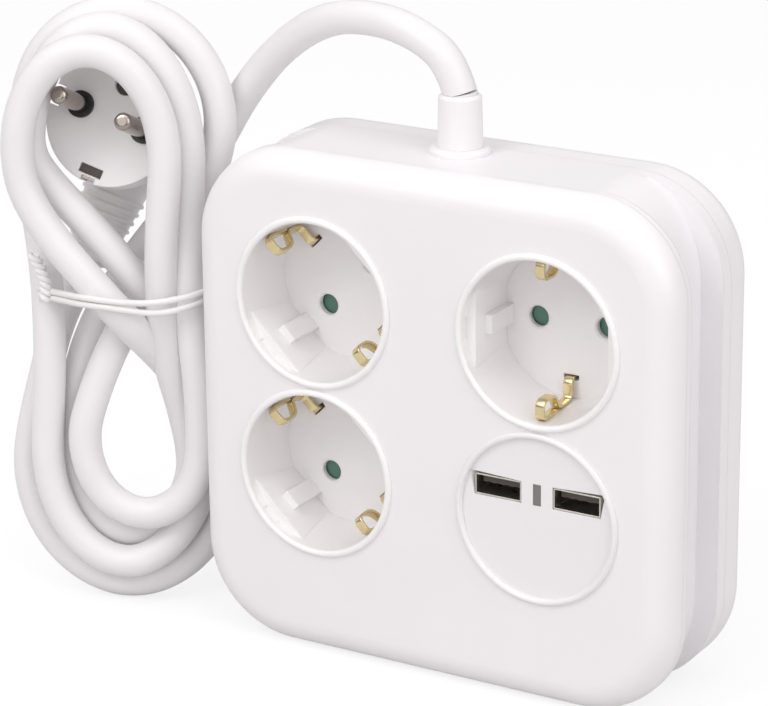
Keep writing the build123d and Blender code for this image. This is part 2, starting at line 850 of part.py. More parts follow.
# Plug with its cord leaving at the side, seen from its face
plug_face = Plane(
    origin=(left_side + plug_centre[0], face_y + plug_centre[1], plug_centre[2]),
    x_dir=plug_pin_row,
    z_dir=plug_pin_direction,
)
neck_start = plug_face.offset(-plug_neck_depth)
neck_plane = Plane(
    origin=neck_start.origin - neck_start.y_dir * plug_neck_start,
    x_dir=plug_face.x_dir,
    z_dir=-plug_face.y_dir,
)
with BuildPart() as plug_body:
    with BuildSketch(plug_face):
        Circle(plug_radius)
        Rectangle(2 * plug_flat_distance, 4 * plug_radius, mode=Mode.INTERSECT)
        with GridLocations(2 * plug_flat_distance, 1, 2, 1):
            Rectangle(2 * plug_notch_depth, plug_notch_width, mode=Mode.SUBTRACT)
    extrude(amount=-plug_rim_depth)
    with BuildSketch(plug_face.offset(-plug_rim_depth)):
        Circle(plug_body_front)
    with BuildSketch(plug_face.offset(-plug_body_depth)):
        Circle(plug_body_back)
    loft()
    back_edge = plug_body.edges().filter_by(GeomType.CIRCLE).sort_by(
        Axis(plug_face.origin, plug_face.z_dir)
    )[0]
    fillet(back_edge, plug_back_radius)
    with BuildSketch(neck_plane):
        Circle(plug_neck_radius)
    with BuildSketch(neck_plane.offset(plug_neck_length)):
        Circle(plug_neck_tip)
    loft()
    with BuildSketch(plug_face):
        with GridLocations(pin_pitch, 1, 2, 1):
            Circle(pin_diameter / 2)
    extrude(amount=-plug_pin_root, mode=Mode.SUBTRACT)
    with BuildSketch(plug_face):
        with Locations((0, plug_earth_hole_rise)):
            Circle(plug_earth_hole_radius)
    extrude(amount=-14, mode=Mode.SUBTRACT)
    with BuildSketch(plug_face):
        with GridLocations(1, 2 * plug_slot_distance, 1, 2):
            Rectangle(plug_slot_width, plug_slot_height)
    extrude(amount=-4, mode=Mode.SUBTRACT)
    with BuildSketch(plug_face):
        with GridLocations(1, 2 * plug_radius, 1, 2):
            Rectangle(plug_strip_width, 2 * (plug_strip_thickness + 0.7))
    extrude(amount=-plug_strip_length, mode=Mode.SUBTRACT)
save(plug_body.part, "plug_body")
for side, offset_x in (("left", -pin_half), ("right", pin_half)):
    with BuildPart() as plug_pin:
        with BuildSketch(plug_face.offset(-plug_pin_root)):
            with Locations((offset_x, 0)):
                Circle(pin_diameter / 2)
        extrude(amount=plug_pin_root + pin_length)
        tip = plug_pin.faces().filter_by(GeomType.PLANE).sort_by(
            Axis(plug_face.origin, plug_face.z_dir)
        )[-1]
        fillet(tip.edges(), plug_pin_tip)
    save(plug_pin.part, f"plug_pin_{side}")
    with BuildPart() as plug_collar:
        with BuildSketch(plug_face):
            with Locations((offset_x, 0)):
                Circle(plug_collar_radius)
                Circle(pin_diameter / 2, mode=Mode.SUBTRACT)
        extrude(amount=plug_collar_height)
    save(plug_collar.part, f"plug_collar_{side}")
for side, sign in (("upper", 1), ("lower", -1)):
    strip_y = plug_radius - plug_strip_thickness / 2 - 0.7
    with BuildPart() as plug_strip:
        with BuildSketch(plug_face.offset(-0.6)):
            with Locations((0, sign * strip_y)):
                Rectangle(plug_strip_width, plug_strip_thickness)
        extrude(amount=-(plug_strip_length - 0.6))
    save(plug_strip.part, f"plug_earth_strip_{side}")

# Free cord from the sleeve, over to the left and down into the back of the hank
cord_lead, lead_length = cord_tube(lead_points, cord_radius)
print("lead radii", [round(radius, 1) for radius in route_radii(lead_points)])
print("lead length", round(lead_length, 1), "volume", round(cord_lead.volume, 1),
      "section times length", round(pi * cord_radius**2 * lead_length, 1))
save(cord_lead, "cord_lead")

# Hank: two flat layers of turns, drawn as the outline that they fill
hank_plane = Plane(
    origin=(left_side + hank_foot[0], face_y + hank_foot[1], 0),
    x_dir=(cos(radians(hank_turn)), sin(radians(hank_turn)), 0),
    z_dir=(sin(radians(hank_turn)), -cos(radians(hank_turn)), 0),
)


def ring(centre, radii, mode=Mode.ADD):
    with Locations(centre):
        Ellipse(*radii, mode=mode)


def waist():
    with Locations(((waist_left + waist_right) / 2, (waist_low + waist_high) / 2)):
        Rectangle(waist_right - waist_left, waist_high - waist_low)


with BuildPart() as cord_hank:
    with BuildSketch(hank_plane.offset(hank_middle)):
        ring((-9, 127), (24, 32.2))
        ring((-5, 40), (26, 39.9))
        waist()
        ring((-9, 127.5), (15.2, 23), Mode.SUBTRACT)
        ring((1.7, 48), (11.4, 17.5), Mode.SUBTRACT)
    extrude(amount=hank_front - hank_middle)
    with BuildSketch(hank_plane.offset(hank_back)):
        ring((-3.6, 132), (30.8, 33.4))
        ring((-6, 37.4), (31, 37.3))
        waist()
        ring((-3.6, 129.5), (22, 23), Mode.SUBTRACT)
        ring((-6, 42), (19, 28), Mode.SUBTRACT)
    extrude(amount=hank_middle - hank_back)
    with BuildSketch(neck_plane):
        Circle(plug_neck_radius + hank_neck_gap)
    with BuildSketch(neck_plane.offset(plug_neck_length)):
        Circle(plug_neck_tip + hank_neck_gap)
    loft(mode=Mode.SUBTRACT)
    with BuildSketch(neck_plane.offset(plug_neck_length)):
        Circle(plug_neck_tip + hank_neck_gap)
    extrude(amount=tail_length, mode=Mode.SUBTRACT)
save(cord_hank.part, "cord_hank")

with BuildPart() as cord_tail:
    with BuildSketch(neck_plane.offset(plug_neck_length)):
        Circle(cord_radius)
    extrude(amount=tail_length)
save(cord_tail.part, "cord_tail")

# Tie: a thin band round the waist of the hank with its twisted end standing up
tie_middle = (hank_front + tie_back) / 2
tie_plane = Plane(
    origin=hank_plane.origin + hank_plane.z_dir * tie_middle + Vector(0, 0, tie_height),
    x_dir=hank_plane.x_dir,
    z_dir=(0, 0, 1),
)
with BuildPart() as twist_tie:
    with BuildSketch(tie_plane):
        with Locations(((waist_left + waist_right) / 2, 0)):
            RectangleRounded(
                waist_right - waist_left + 2 * tie_thickness,
                hank_front - tie_back + 2 * tie_thickness,
                tie_thickness,
            )
            Rectangle(waist_right - waist_left, hank_front - tie_back, mode=Mode.SUBTRACT)
    extrude(amount=tie_width / 2, both=True)
    with BuildSketch(tie_plane):
        with Locations((waist_left - tie_thickness - tie_end_radius * 0.6, 6)):
            Circle(tie_end_radius)
    extrude(amount=tie_end_height)
save(twist_tie.part, "twist_tie")
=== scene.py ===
# Cube power strip standing on its edge, its mains lead tied up in a hank beside it.
# Everything is in metres in the model's own frame: X along the front, Y to the back, Z up.
import math
import bmesh
import bpy
from mathutils import Matrix, Vector


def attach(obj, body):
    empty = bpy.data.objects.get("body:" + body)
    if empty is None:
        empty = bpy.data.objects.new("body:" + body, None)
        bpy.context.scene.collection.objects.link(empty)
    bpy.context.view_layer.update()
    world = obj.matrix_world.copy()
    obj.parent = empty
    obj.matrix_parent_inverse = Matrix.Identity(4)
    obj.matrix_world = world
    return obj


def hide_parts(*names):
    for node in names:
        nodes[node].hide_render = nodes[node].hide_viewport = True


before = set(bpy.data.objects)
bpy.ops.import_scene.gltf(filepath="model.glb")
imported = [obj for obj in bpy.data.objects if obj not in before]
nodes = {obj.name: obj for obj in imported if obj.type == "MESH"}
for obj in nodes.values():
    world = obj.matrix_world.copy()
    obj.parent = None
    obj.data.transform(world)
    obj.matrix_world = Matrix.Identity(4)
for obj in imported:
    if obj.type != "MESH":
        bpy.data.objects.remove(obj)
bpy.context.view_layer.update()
scene = bpy.context.scene
print("frame loaded,", len(nodes), "nodes")


# Camera

cameraSet = {
    "lens": 158.24,
    "place": (0.40280, -0.70557, 0.36296),
    "yaw": 31.185,  # degrees to the left of straight ahead
    "down": 19.05,
    "roll": -0.689,
}


def makeCamera(s):
    yaw, down, roll = (math.radians(s[key]) for key in ("yaw", "down", "roll"))
    ahead = Vector((-math.sin(yaw) * math.cos(down), math.cos(yaw) * math.cos(down), -math.sin(down)))
    right = Vector((math.cos(yaw), math.sin(yaw), 0))
    up = right.cross(ahead)
    side = right * math.cos(roll) + up * math.sin(roll)
    top = up * math.cos(roll) - right * math.sin(roll)
    data = bpy.data.cameras.new("viewCamera")
    data.lens = s["lens"]
    data.sensor_width = 36
    data.clip_end = 50
    camera = bpy.data.objects.new("viewCamera", data)
    scene.collection.objects.link(camera)
    matrix = Matrix((side, top, -ahead)).transposed().to_4x4()
    matrix.translation = Vector(s["place"])
    camera.matrix_world = matrix
    scene.camera = camera


makeCamera(cameraSet)
print("camera set")


# Node helpers

def addNode(tree, kind, inputs=None, **settings):
    node = tree.nodes.new(kind)
    for key, value in settings.items():
        setattr(node, key, value)
    for key, value in (inputs or {}).items():
        if isinstance(value, bpy.types.NodeSocket):
            tree.links.new(value, node.inputs[key])
        else:
            node.inputs[key].default_value = value
    return node


def newTree(kind, name, inputs, outputs):
    tree = bpy.data.node_groups.new(name, kind)
    for label, sort, value in inputs:
        socket = tree.interface.new_socket(label, in_out="INPUT", socket_type=sort)
        if value is not None:
            socket.default_value = value
    for label, sort in outputs:
        tree.interface.new_socket(label, in_out="OUTPUT", socket_type=sort)
    return tree, tree.nodes.new("NodeGroupInput").outputs, tree.nodes.new("NodeGroupOutput").inputs


def makeMouldSkin():  # satin skin of a moulded part: orange peel, fine grain and a slow drift of tone
    tree, given, out = newTree(
        "ShaderNodeTree", "mouldSkin",
        [("Peel Scale", "NodeSocketFloat", 420), ("Grain Scale", "NodeSocketFloat", 5200),
         ("Grain Share", "NodeSocketFloat", 0.35), ("Drift Scale", "NodeSocketFloat", 26)],
        [("Height", "NodeSocketFloat"), ("Tone", "NodeSocketFloat"), ("Fine", "NodeSocketFloat")],
    )
    place = addNode(tree, "ShaderNodeTexCoord").outputs["Object"]
    peel = addNode(
        tree, "ShaderNodeTexNoise",
        {"Vector": place, "Scale": given["Peel Scale"], "Detail": 2, "Roughness": 0.45},
    )
    grain = addNode(
        tree, "ShaderNodeTexNoise",
        {"Vector": place, "Scale": given["Grain Scale"], "Detail": 1, "Roughness": 0.5},
    )
    drift = addNode(
        tree, "ShaderNodeTexNoise",
        {"Vector": place, "Scale": given["Drift Scale"], "Detail": 3, "Roughness": 0.55},
    )
    height = addNode(
        tree, "ShaderNodeMix", {0: given["Grain Share"], 2: peel.outputs["Fac"], 3: grain.outputs["Fac"]},
        data_type="FLOAT",
    )
    tone = addNode(
        tree, "ShaderNodeMapRange", {"Value": drift.outputs["Fac"], "From Min": 0.3, "From Max": 0.7},
    )
    tree.links.new(height.outputs[0], out["Height"])
    tree.links.new(tone.outputs[0], out["Tone"])
    tree.links.new(grain.outputs["Fac"], out["Fine"])
    return tree


def makeSoftEdge():  # rounds sharp edges in the shading and marks where they are
    tree, given, out = newTree(
        "ShaderNodeTree", "softEdge",
        [("Radius", "NodeSocketFloat", 0.0004), ("Mark", "NodeSocketFloat", 6.0)],
        [("Normal", "NodeSocketVector"), ("Edge", "NodeSocketFloat")],
    )
    bevel = addNode(tree, "ShaderNodeBevel", {"Radius": given["Radius"]}, samples=6)
    plain = addNode(tree, "ShaderNodeNewGeometry").outputs["Normal"]
    both = addNode(tree, "ShaderNodeVectorMath", {0: bevel.outputs[0], 1: plain}, operation="DOT_PRODUCT")
    bent = addNode(tree, "ShaderNodeMath", {0: 1.0, 1: both.outputs["Value"]}, operation="SUBTRACT")
    mark = addNode(
        tree, "ShaderNodeMath", {0: bent.outputs[0], 1: given["Mark"]}, operation="MULTIPLY",
        use_clamp=True,
    )
    tree.links.new(bevel.outputs[0], out["Normal"])
    tree.links.new(mark.outputs[0], out["Edge"])
    return tree


def makeMetalMarks():  # stamped and plated metal: long draw lines, fine scratches and cloudy roughness
    tree, given, out = newTree(
        "ShaderNodeTree", "metalMarks",
        [("Line Scale", "NodeSocketFloat", 900), ("Stretch", "NodeSocketVector", (1, 1, 14)),
         ("Cloud Scale", "NodeSocketFloat", 160)],
        [("Height", "NodeSocketFloat"), ("Cloud", "NodeSocketFloat")],
    )
    place = addNode(tree, "ShaderNodeTexCoord").outputs["Object"]
    squeezed = addNode(tree, "ShaderNodeVectorMath", {0: place, 1: given["Stretch"]}, operation="MULTIPLY")
    lines = addNode(
        tree, "ShaderNodeTexNoise",
        {"Vector": squeezed.outputs[0], "Scale": given["Line Scale"], "Detail": 4, "Roughness": 0.6},
    )
    cloud = addNode(
        tree, "ShaderNodeTexNoise",
        {"Vector": place, "Scale": given["Cloud Scale"], "Detail": 3, "Roughness": 0.6},
    )
    tree.links.new(lines.outputs["Fac"], out["Height"])
    tree.links.new(cloud.outputs["Fac"], out["Cloud"])
    return tree


mouldSkin, softEdge, metalMarks = makeMouldSkin(), makeSoftEdge(), makeMetalMarks()


def placeGroup(tree, group, **values):
    node = addNode(tree, "ShaderNodeGroup", node_tree=group)
    for key, value in values.items():
        node.inputs[key.replace("_", " ")].default_value = value
    return node.outputs


def newMaterial(name):
    material = bpy.data.materials.new(name)
    material.use_nodes = True
    tree = material.node_tree
    return material, tree, tree.nodes["Principled BSDF"]


def mixColours(tree, factor, first, second):  # each colour is a socket or three numbers
    first, second = (c if isinstance(c, bpy.types.NodeSocket) else (*c, 1) for c in (first, second))
    return addNode(tree, "ShaderNodeMix", {0: factor, 6: first, 7: second}, data_type="RGBA").outputs[2]


def spreadNoise(tree, value, low, high):  # the middle of a noise, stretched over a range
    return addNode(tree, "ShaderNodeMapRange", {
        "Value": value, "From Min": 0.3, "From Max": 0.7, "To Min": low, "To Max": high,
    }).outputs[0]


def linkShader(tree, shader, **sockets):
    for key, socket in sockets.items():
        tree.links.new(socket, shader.inputs[key.replace("_", " ")])


# Materials

plasticSet = {
    # base, second tone, roughness low and high, bump depth, edge radius, peel scale, grain scale
    "housing_plastic": (
        (0.875, 0.848, 0.864), (0.895, 0.868, 0.884), 0.30, 0.38, 0.00006, 0.0005, 420, 5200,
    ),
    "insert_plastic": (
        (0.912, 0.888, 0.890), (0.926, 0.903, 0.905), 0.27, 0.35, 0.00005, 0.0004, 420, 5200,
    ),
    "disc_plastic": ((0.850, 0.826, 0.838), (0.868, 0.845, 0.856), 0.30, 0.38, 0.00005, 0.0004, 420, 5200),
    "base_plastic": ((0.74, 0.73, 0.71), (0.78, 0.77, 0.75), 0.45, 0.55, 0.00008, 0.0003, 500, 4000),
    "shutter_plastic": (
        (0.085, 0.200, 0.140), (0.105, 0.235, 0.170), 0.32, 0.42, 0.00005, 0.0003, 600, 5200,
    ),
    # dark plastic of the charging port tongues, also used as painted shade inside the plug's openings
    "port_tongue_plastic": (
        (0.075, 0.058, 0.048), (0.10, 0.078, 0.066), 0.40, 0.52, 0.00005, 0.0002, 700, 6000,
    ),
    "pin_collar_plastic": (
        (0.014, 0.014, 0.015), (0.026, 0.026, 0.027), 0.38, 0.50, 0.00005, 0.0003, 700, 6000,
    ),
    "plug_plastic": ((0.945, 0.918, 0.922), (0.957, 0.932, 0.936), 0.32, 0.42, 0.00007, 0.0006, 380, 4600),
    "cord_guard_plastic": (
        (0.875, 0.850, 0.862), (0.892, 0.868, 0.880), 0.34, 0.44, 0.00007, 0.0004, 420, 5000,
    ),
    "tie_plastic": ((0.86, 0.835, 0.838), (0.89, 0.865, 0.868), 0.36, 0.50, 0.00010, 0.0002, 900, 6000),
    "live_insulation": ((0.22, 0.095, 0.04), (0.27, 0.12, 0.05), 0.40, 0.50, 0.00005, 0.0002, 600, 5200),
    "neutral_insulation": ((0.03, 0.10, 0.36), (0.045, 0.13, 0.42), 0.40, 0.50, 0.00005, 0.0002, 600, 5200),
    "transformer_wrap": ((0.66, 0.52, 0.08), (0.74, 0.60, 0.13), 0.30, 0.45, 0.00006, 0.0002, 500, 3000),
}


# painted highlight on the edges of the plastic parts, standing in for light caught by rounded edges
edgeHighlightGain = 1.04  # how much lighter an edge is than the rest


def makePlastic(name, base, second, low, high, depth, radius, peel, grain):
    material, tree, shader = newMaterial(name)
    skin = placeGroup(tree, mouldSkin, Peel_Scale=peel, Grain_Scale=grain)
    edge = placeGroup(tree, softEdge, Radius=radius)
    drift = mixColours(tree, skin["Tone"], base, second)
    # painted highlight: the edges are mixed towards a lighter tone
    edgeHighlighted = mixColours(tree, edge["Edge"], drift, tuple(min(1, c * edgeHighlightGain) for c in second))
    rough = spreadNoise(tree, skin["Fine"], low, high)
    bump = addNode(
        tree, "ShaderNodeBump",
        {"Height": skin["Height"], "Normal": edge["Normal"], "Strength": 0.5, "Distance": depth},
    )
    linkShader(tree, shader, Base_Color=edgeHighlighted, Roughness=rough, Normal=bump.outputs[0])
    shader.inputs["IOR"].default_value = 1.5
    return material


metalSet = {
    # base, darker tone, roughness low and high, line scale, stretch, depth
    "brass": ((0.88, 0.77, 0.50), (0.62, 0.49, 0.22), 0.12, 0.26, 700, (14, 14, 1), 0.00002),
    "screw_steel": ((0.60, 0.60, 0.62), (0.46, 0.46, 0.48), 0.26, 0.42, 900, (1, 8, 1), 0.00002),
    "port_steel": ((0.78, 0.74, 0.69), (0.60, 0.56, 0.51), 0.22, 0.38, 900, (1, 10, 1), 0.00002),
    "pin_nickel": ((0.50, 0.445, 0.39), (0.24, 0.20, 0.17), 0.07, 0.18, 1100, (9, 1, 1), 0.00001),
    "capacitor_can": ((0.62, 0.62, 0.64), (0.48, 0.48, 0.50), 0.24, 0.40, 800, (1, 9, 1), 0.00002),
}


def makeMetal(name, base, dark, low, high, scale, stretch, depth):
    material, tree, shader = newMaterial(name)
    marks = placeGroup(tree, metalMarks, Line_Scale=scale, Stretch=stretch)
    edge = placeGroup(tree, softEdge, Radius=0.00025)
    tint = mixColours(tree, marks["Cloud"], base, dark)
    rough = spreadNoise(tree, marks["Cloud"], low, high)
    bump = addNode(
        tree, "ShaderNodeBump",
        {"Height": marks["Height"], "Normal": edge["Normal"], "Strength": 0.35, "Distance": depth},
    )
    linkShader(tree, shader, Base_Color=tint, Roughness=rough, Normal=bump.outputs[0])
    shader.inputs["Metallic"].default_value = 1
    return material


jacketSet = {
    "base": (0.846, 0.820, 0.828), "second": (0.864, 0.839, 0.847), "peel": 260, "grain": 3600,
    "rough": (0.36, 0.48),
}


def makeJacket(s):  # soft vinyl with the faint ripple of the cores beneath
    material, tree, shader = newMaterial("cord_jacket")
    skin = placeGroup(
        tree, mouldSkin, Peel_Scale=s["peel"], Grain_Scale=s["grain"], Grain_Share=0.25, Drift_Scale=60,
    )
    drift = mixColours(tree, skin["Tone"], s["base"], s["second"])
    rough = spreadNoise(tree, skin["Fine"], *s["rough"])
    bump = addNode(tree, "ShaderNodeBump", {"Height": skin["Height"], "Strength": 0.5, "Distance": 0.00012})
    linkShader(tree, shader, Base_Color=drift, Roughness=rough, Normal=bump.outputs[0])
    shader.inputs["Sheen Weight"].default_value = 0.08
    shader.inputs["Sheen Roughness"].default_value = 0.4
    return material


def makeEarthInsulation():  # green vinyl with a yellow stripe
    material, tree, shader = newMaterial("earth_insulation")
    skin = placeGroup(tree, mouldSkin)
    place = addNode(tree, "ShaderNodeTexCoord").outputs["Object"]
    wave = addNode(
        tree, "ShaderNodeTexWave", {"Vector": place, "Scale": 90, "Distortion": 1.5},
        bands_direction="DIAGONAL",
    )
    split = addNode(tree, "ShaderNodeMath", {0: wave.outputs["Fac"], 1: 0.6}, operation="GREATER_THAN")
    green = mixColours(tree, skin["Tone"], (0.04, 0.30, 0.05), (0.06, 0.36, 0.07))
    stripe = mixColours(tree, split.outputs[0], green, (0.78, 0.62, 0.04))
    bump = addNode(tree, "ShaderNodeBump", {"Height": skin["Height"], "Strength": 0.4, "Distance": 0.00006})
    linkShader(tree, shader, Base_Color=stripe, Normal=bump.outputs[0])
    shader.inputs["Roughness"].default_value = 0.42
    return material


def makeBoard():  # green solder mask with copper tracks under it
    material, tree, shader = newMaterial("board_laminate")
    place = addNode(tree, "ShaderNodeTexCoord").outputs["Object"]
    cells = addNode(
        tree, "ShaderNodeTexVoronoi", {"Vector": place, "Scale": 420}, distance="CHEBYCHEV", feature="F1",
    )
    track = addNode(
        tree, "ShaderNodeMapRange",
        {"Value": cells.outputs["Distance"], "From Min": 0.32, "From Max": 0.36},
    )
    skin = placeGroup(tree, mouldSkin, Peel_Scale=900, Grain_Scale=6000)
    tint = mixColours(tree, track.outputs[0], (0.02, 0.20, 0.07), (0.035, 0.27, 0.10))
    bump = addNode(
        tree, "ShaderNodeBump", {"Height": track.outputs[0], "Strength": 0.5, "Distance": 0.00005},
    )
    rough = addNode(tree, "ShaderNodeMapRange", {"Value": skin["Fine"], "To Min": 0.22, "To Max": 0.36})
    linkShader(tree, shader, Base_Color=tint, Roughness=rough.outputs[0], Normal=bump.outputs[0])
    return material


clearSet = {
    # base, roughness, transmission
    "light_guide_plastic": ((0.30, 0.275, 0.265), 0.22, 0.35),
    "led_body": ((0.42, 0.11, 0.07), 0.15, 0.30),
}


def makeClear(name, base, rough, clear):
    material, tree, shader = newMaterial(name)
    skin = placeGroup(tree, mouldSkin, Peel_Scale=700, Grain_Scale=5000)
    edge = placeGroup(tree, softEdge, Radius=0.0003)
    tint = mixColours(tree, skin["Tone"], base, tuple(c * 1.12 for c in base))
    bump = addNode(
        tree, "ShaderNodeBump",
        {"Height": skin["Height"], "Normal": edge["Normal"], "Strength": 0.4, "Distance": 0.00004},
    )
    linkShader(tree, shader, Base_Color=tint, Normal=bump.outputs[0])
    shader.inputs["Roughness"].default_value = rough
    shader.inputs["Transmission Weight"].default_value = clear
    shader.inputs["IOR"].default_value = 1.49
    return material


finishes = {name: makePlastic(name, *values) for name, values in plasticSet.items()}
finishes.update({name: makeMetal(name, *values) for name, values in metalSet.items()})
finishes.update({name: makeClear(name, *values) for name, values in clearSet.items()})
finishes["cord_jacket"] = makeJacket(jacketSet)
finishes["earth_insulation"] = makeEarthInsulation()
finishes["board_laminate"] = makeBoard()

sockets = ("upper_right", "upper_left", "lower_left")
nodeFinish = {
    "housing_plastic": ["front_cover", "rear_cover", "groove_band"],
    "insert_plastic": [f"{s}_cup" for s in sockets] + ["usb_faceplate"],
    "base_plastic": [f"{s}_base" for s in sockets] + ["cord_clamp"],
    "shutter_plastic": [f"{s}_shutter" for s in sockets],
    "brass": [f"{s}_earth_stirrup" for s in sockets] + ["live_rail", "neutral_rail", "earth_link"],
    "screw_steel": ["base_screws", "board_screws", "clamp_screws", "housing_screws"],
    "port_steel": ["usb_shell_left", "usb_shell_right"],
    "port_tongue_plastic": ["usb_tongue_left", "usb_tongue_right"],
    "light_guide_plastic": ["light_guide"],
    "led_body": ["status_led"],
    "board_laminate": ["usb_circuit_board"],
    "transformer_wrap": ["transformer"],
    "capacitor_can": ["capacitor"],
    "cord_guard_plastic": ["cord_collar", "cord_sleeve"],
    "cord_jacket": ["cord_entry", "cord_lead", "cord_hank", "cord_tail"],
    "live_insulation": ["live_wire"],
    "neutral_insulation": ["neutral_wire"],
    "earth_insulation": ["earth_wire"],
    "plug_plastic": ["plug_body"],
    "pin_nickel": ["plug_pin_left", "plug_pin_right", "plug_earth_strip_upper", "plug_earth_strip_lower"],
    "pin_collar_plastic": ["plug_collar_left", "plug_collar_right"],
    "tie_plastic": ["twist_tie"],
}
for finish, members in nodeFinish.items():
    for member in members:
        holder = nodes[member]
        if holder.material_slots:
            for place in holder.material_slots:
                place.material = finishes[finish]
        else:
            holder.data.materials.append(finishes[finish])
bare = sorted(set(nodes) - {member for members in nodeFinish.values() for member in members})
print("materials set, nodes without one:", bare)


# Mains lead and hank. In the hank, S runs across its turns, Z up and T towards the front.

leadRoute = [
    (-0.0027, 0.0025, 0.1495),
    (-0.0052, 0.0025, 0.1570),
    (-0.0135, 0.0030, 0.1625),
    (-0.0270, 0.0050, 0.1654),
    (-0.0440, 0.0080, 0.1634),
    (-0.0605, 0.0120, 0.1536),
    (-0.0750, 0.0150, 0.1385),
    (-0.0835, 0.0130, 0.1230),
]
hankSet = {"foot": (-0.093, -0.0135, 0), "turn": 24, "diameter": 0.0088, "length": 1.37}
hankTurns = [  # in millimetres: runs are S, Z, T points, arcs have a centre, radii, angles and depths
    {"run": [
        (10.5, 108, -21), (1.8, 97.5, -20.5), (-6.6, 86.5, -18.2), (-13.2, 75.5, -12.2), (-17.5, 63, -7.5),
    ]},
    {
        "centre": (-3.2, 42), "radii": (17.2, 24.3), "angles": (172, 352), "depths": (-6, -3.5, -5),
        "count": 9,
    },
    {"run": [(11.6, 54, -3.5), (9.2, 66, 0), (8, 82, 3), (8.3, 97, 4.5), (9, 108, 5)]},
    {"centre": (-9, 127), "radii": (19.6, 27.8), "angles": (-6, 204), "depths": (5, 5.5, 6), "count": 11},
    {"run": [(-19.5, 104, 7.5), (-9, 92.5, 9.5), (-0.5, 81.5, 7.5), (7, 68, -3.5)]},
    {
        "centre": (-4, 42.5), "radii": (21.3, 30.5), "angles": (20, -182), "depths": (-9.5, 4.5, 1),
        "count": 11,
    },
    {"run": [(-24, 60, 0), (-23.6, 76, -1.5), (-24.6, 92, -5), (-27.6, 108, -10)]},
    {
        "centre": (-3.6, 132), "radii": (26.4, 29), "angles": (190, -8), "depths": (-12, -12, -10.5),
        "count": 12,
    },
    {"run": [(19, 116, -10.5), (12.5, 104, -11), (5.5, 92.5, -10.5), (-1, 82, -7), (-7.5, 70.5, -1)]},
    {
        "centre": (1.7, 47), "radii": (16.2, 20.6), "angles": (160, 364), "depths": (3, 4.5, 4.5),
        "count": 10,
    },
    {"run": [(17.6, 64, 4.5), (16, 78, 3), (14.7, 94, 1), (14.6, 110, -1.5)]},
    {
        "centre": (-6.2, 125.2), "radii": (21.6, 33.3), "angles": (-6, 182), "depths": (-3, -3.5, -3.5),
        "count": 11,
    },
    {"run": [(-21.6, 115.5, -3), (-12, 106, -1.5), (-2.5, 94.5, -1.2), (6, 82.5, -4.5), (13, 70, -10)]},
    {
        "centre": (-4.5, 36.3), "radii": (28, 32.2), "angles": (25, -190), "depths": (-12.5, -1, -8),
        "count": 12,
    },
    {"run": [
        (-27, 62, -9.5), (-24.5, 73, -15), (-20.2, 82.5, -20), (-17, 90, -22.5), (-15.6, 93.5, -23.7),
    ]},
]
turnAngle = math.radians(hankSet["turn"])
hankAcross = Vector((math.cos(turnAngle), math.sin(turnAngle), 0))
hankAhead = Vector((math.sin(turnAngle), -math.cos(turnAngle), 0))


def hankPoint(s, z, t):
    return Vector(hankSet["foot"]) + (hankAcross * s + hankAhead * t + Vector((0, 0, z))) * 0.001


def hankRoute(turns):
    route = []
    for turn in turns:
        if "run" in turn:
            route += [hankPoint(*point) for point in turn["run"]]
            continue
        first, middle, last = turn["depths"]
        for i in range(turn["count"]):
            share = i / (turn["count"] - 1)
            angle = math.radians(turn["angles"][0] + (turn["angles"][1] - turn["angles"][0]) * share)
            if share < 0.5:
                depth = first + (middle - first) * share * 2
            else:
                depth = middle + (last - middle) * (share * 2 - 1)
            route.append(hankPoint(
                turn["centre"][0] + turn["radii"][0] * math.cos(angle),
                turn["centre"][1] + turn["radii"][1] * math.sin(angle),
                depth,
            ))
    return route


def makeCurve(name, route, radius, material, sides=5, steps=6, cyclic=False):
    data = bpy.data.curves.new(name, "CURVE")
    data.dimensions = "3D"
    spline = data.splines.new("NURBS")
    spline.points.add(len(route) - 1)
    for point, place in zip(spline.points, route):
        point.co = (*place, 1)
    spline.order_u = 3
    if cyclic:
        spline.use_cyclic_u = True
    else:
        spline.use_endpoint_u = True
    spline.resolution_u = steps
    data.bevel_depth = radius
    data.bevel_resolution = sides
    data.use_fill_caps = True
    data.materials.append(material)
    piece = bpy.data.objects.new(name, data)
    scene.collection.objects.link(piece)
    return piece


mainsLead = makeCurve(
    "mainsLead", [Vector(p) for p in leadRoute] + hankRoute(hankTurns), hankSet["diameter"] / 2,
    finishes["cord_jacket"],
)
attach(mainsLead, "housing")
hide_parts("cord_lead", "cord_hank", "cord_tail")
print("mains lead made,", len(mainsLead.data.splines[0].points), "points")


# Twist tie: two strands side by side round the waist, twisted together at the left

tieSet = {
    "radius": 0.00085,
    "upper": [
        (-28.9, 86.9, -6), (-25.4, 88.0, 0.3), (-19.2, 89.2, 6.6), (-12.6, 90.0, 12.2), (-5.6, 90.3, 15.4),
        (0.6, 89.2, 13.6), (6, 88.4, 11.2), (11.5, 88.9, 9.9), (17.8, 90.1, 8.4), (20.9, 90.2, 3),
        (20.2, 89.6, -5), (14.5, 88.8, -15), (6, 88.4, -24), (-6, 88.2, -26.6), (-16, 87.8, -28.4),
        (-22.5, 87.4, -27.6), (-26.6, 87, -20), (-28.7, 86.8, -12),
    ],
    "lower": [
        (-28.9, 85.1, -6), (-25.4, 86.2, 0.3), (-19.2, 87.4, 6.6), (-12.6, 88.1, 12.2), (-5.6, 88.5, 15.4),
        (0.6, 87.1, 13.6), (6, 85.6, 11.2), (11.5, 85.8, 9.9), (17.8, 87.6, 8.4), (20.9, 88.1, 3),
        (20.2, 87.8, -5), (14.5, 87.0, -15), (6, 86.6, -24), (-6, 86.4, -26.6), (-16, 86.0, -28.4),
        (-22.5, 85.6, -27.6), (-26.6, 85.2, -20), (-28.7, 85.0, -12),
    ],
    "foot": (-23.2, 86.3, 4.8),
    "top": (-25.0, 98.6, 3.8),
    "turns": 3.5,
    "points": 40,
    "swing": 0.95,
    "bow": 1.1,
    "bowTurn": 4.0,
}


